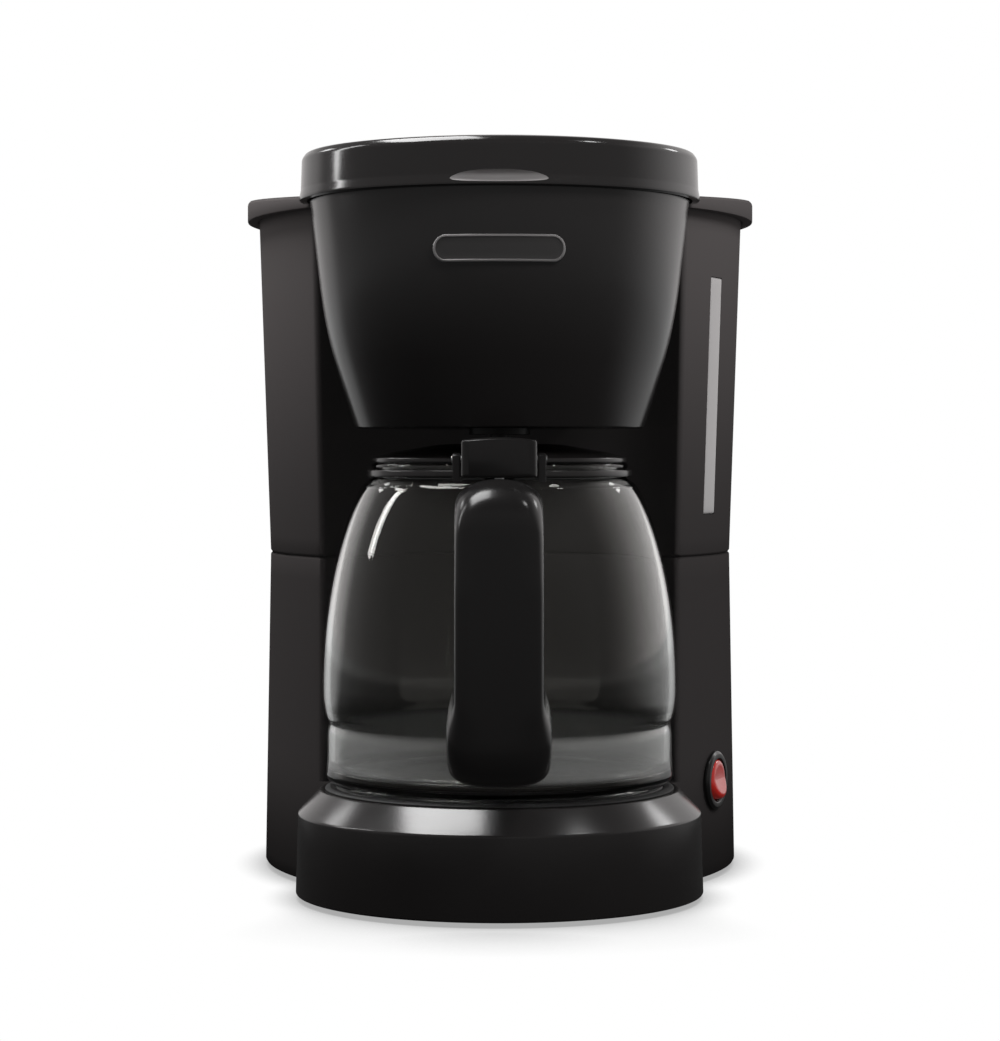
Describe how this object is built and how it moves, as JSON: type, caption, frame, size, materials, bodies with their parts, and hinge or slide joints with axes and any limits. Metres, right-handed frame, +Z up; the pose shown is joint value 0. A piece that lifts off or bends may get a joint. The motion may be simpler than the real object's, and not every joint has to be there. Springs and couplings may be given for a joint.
{
  "type": "drip coffee maker",
  "caption": "Compact drip coffee maker: rounded black housing with rear water tank, tapering brew head with flip lid, warming plate, rocker switch and lidded glass carafe.",
  "frame": {"origin": "under the middle of the machine's overall box, at the level its rubber feet stand on", "axes": "+Z up, -Y towards the user (front, carafe handle), +X to the right of the machine as its user's left-to-right view sees it from the front"},
  "size_m": [0.18, 0.244, 0.2474],
  "materials": {
    "housing_black": "moulded, glossy",
    "inner_black": "moulded, satin",
    "switch_black": "moulded, glossy",
    "white_plastic": "moulded, satin",
    "sleeve_white": "woven glass-fibre sleeve",
    "window_smoke": "translucent, glossy",
    "glass_clear": "clear, fire-polished",
    "steel": "zinc-plated or plain steel",
    "aluminium": "extruded and cast",
    "element_metal": "drawn tube",
    "plate_coating": "non-stick coating, satin",
    "rubber_black": "moulded",
    "silicone": "translucent silicone rubber",
    "seal_red": "moulded",
    "plate_grey": "satin, blank",
    "lens_red": "tinted, glossy",
    "lamp_orange": "small neon lamp",
    "brass": "stamped",
    "wire_sleeve": "insulated copper wire"
  },
  "bodies": {
    "machine": {"base_shell": "housing_black", "bottom_plate": "inner_black", "bottom_screws": "steel", "rubber_feet": "rubber_black", "warming_plate": "plate_coating", "plate_gasket": "rubber_black", "heater_body": "aluminium", "heater_element": "element_metal", "heater_clamp": "steel", "heater_clamp_screw": "steel", "thermostat": "white_plastic", "thermal_fuses": "sleeve_white", "cold_hose": "silicone", "hot_hose": "silicone", "hose_clips": "steel", "check_valve": "white_plastic", "tank_shell": "housing_black", "level_window": "window_smoke", "tank_strainer": "white_plastic", "rear_screws": "steel", "top_deck": "housing_black", "brew_head": "housing_black", "head_screws": "steel", "riser_tube": "white_plastic", "riser_grommet": "rubber_black", "spout_nozzle": "inner_black", "spout_seal": "silicone", "nameplate": "plate_grey", "filter_basket": "inner_black", "valve_retainer": "inner_black", "valve_spring": "steel", "lid_hinge_pin": "steel", "switch_housing": "switch_black", "switch_lamp": "lamp_orange", "switch_terminals": "brass", "wiring": "wire_sleeve", "cord_grommet": "rubber_black", "cord_clamp": "white_plastic", "cord_clamp_screws": "steel"},
    "lid": {"lid_shell": "housing_black", "lid_liner": "inner_black", "shower_disc": "inner_black"},
    "carafe": {"carafe_glass": "glass_clear", "carafe_band": "housing_black", "carafe_handle": "housing_black", "handle_screw": "steel", "carafe_lid": "housing_black", "carafe_lid_pin": "steel"},
    "drip_valve": {"valve_plunger": "inner_black", "valve_seal": "silicone"},
    "rocker": {"switch_rocker": "lens_red"},
    "non_return_ball": {"check_ball": "seal_red"}
  },
  "joints": [
    {"name": "lid_hinge", "type": "hinge", "parent": "machine", "child": "lid", "pos_m": [0, 0.112, 0.24], "axis": [-1, 0, 0], "range_deg": [0, 100]},
    {"name": "carafe_slide", "type": "slide", "parent": "machine", "child": "carafe", "axis": [0, -1, 0], "range_m": [0, 0.2]},
    {"name": "switch_pivot", "type": "hinge", "parent": "machine", "child": "rocker", "pos_m": [0.07203, 0.01359, 0.034], "axis": [0.3987, 0.9171, 0], "range_deg": [0, 18]},
    {"name": "drip_valve_slide", "type": "slide", "parent": "machine", "child": "drip_valve", "axis": [0, 0, 1], "range_m": [0, 0.003], "stiffness_N_per_m": 60, "springref_m": -0.004, "deforming": ["valve_spring"]},
    {"name": "ball_lift", "type": "slide", "parent": "machine", "child": "non_return_ball", "axis": [0, 0, 1], "range_m": [0, 0.0024]}
  ]
}
